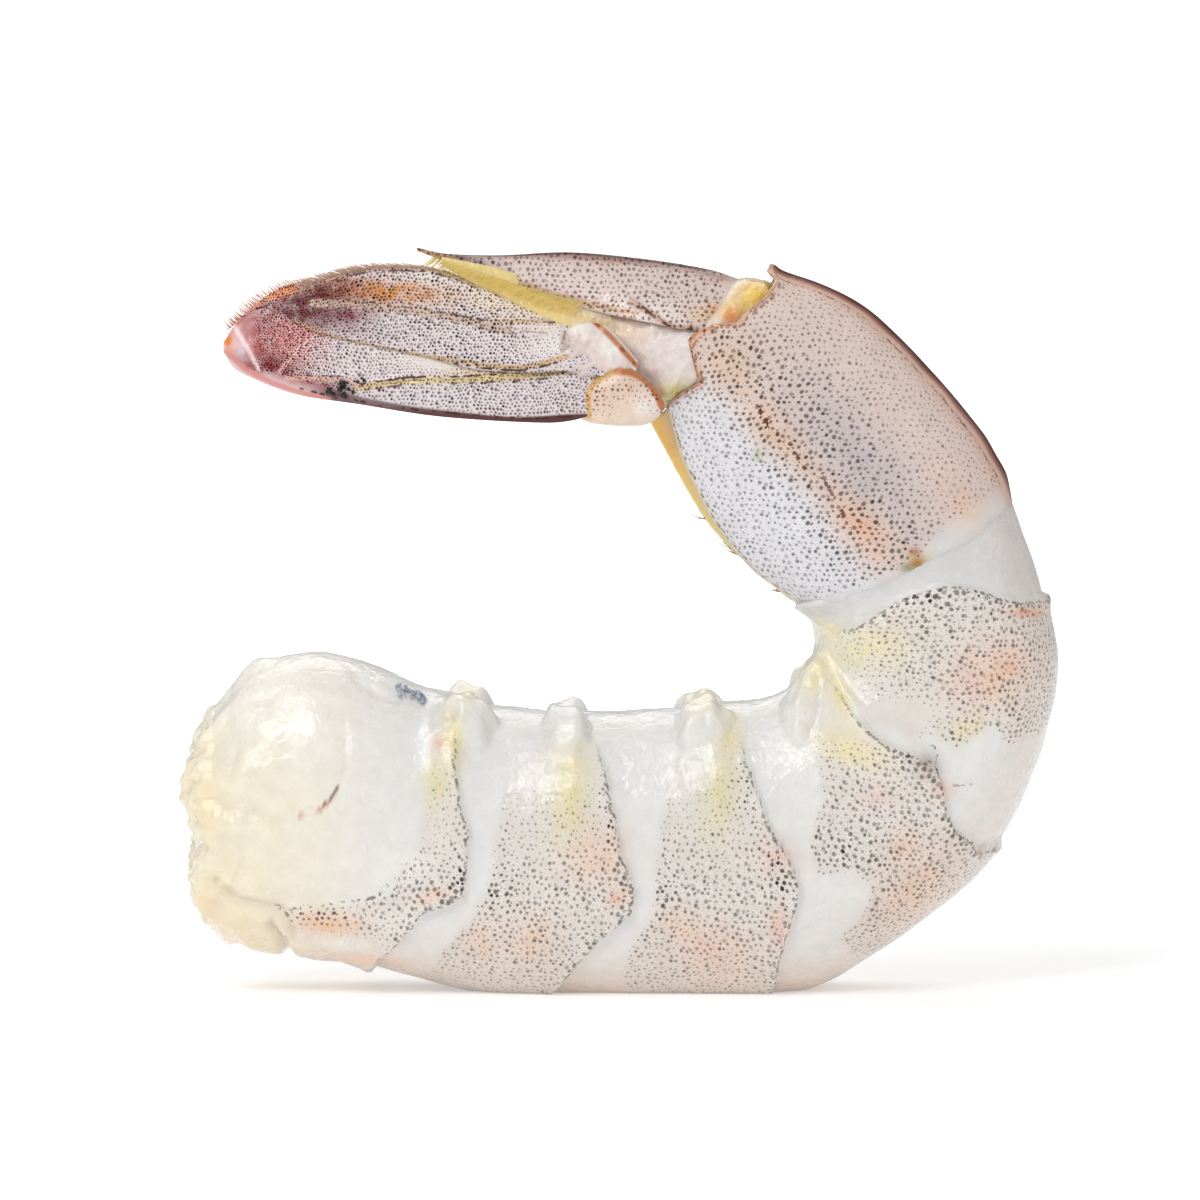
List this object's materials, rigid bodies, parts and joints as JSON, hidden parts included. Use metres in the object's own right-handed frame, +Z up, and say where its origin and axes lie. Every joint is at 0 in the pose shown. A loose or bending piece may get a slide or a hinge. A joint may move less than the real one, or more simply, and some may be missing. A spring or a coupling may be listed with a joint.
{
  "type": "raw peeled shrimp tail",
  "caption": "Raw peeled whiteleg shrimp curled on its back, bare segmented flesh with the last shell ring and folded tail fan left on.",
  "frame": {"origin": "on the floor under the middle of the whole shrimp's box, on the median plane", "axes": "+X from the cut end towards the bend, +Y from the animal's right flank to its left flank, +Z up from the back it lies on towards the tail"},
  "size_m": [0.0586, 0.0146, 0.0497],
  "materials": {
    "flesh": "wet translucent raw flesh, off-white, cream at the cut end, with fine dark pigment dots on the segment plates",
    "shell": "thin glossy lilac-grey shell with charcoal pigment dots and a brown-red keel",
    "tissue": "wet white and yellow joint membrane",
    "uropod_base": "thin glossy beige-pink shell with brown dots and an orange-brown rim",
    "tail_blade": "thin glossy dotted shell, lilac-grey at the root and dark red at the tip, with yellow ribs"
  },
  "bodies": {
    "root": {"meat": "flesh", "tail_shell": "shell", "tail_joint": "tissue", "telson": "shell", "uropod_base_right": "uropod_base", "endopod_right": "tail_blade", "exopod_right": "tail_blade", "uropod_base_left": "uropod_base", "endopod_left": "tail_blade", "exopod_left": "tail_blade"}
  },
  "joints": []
}
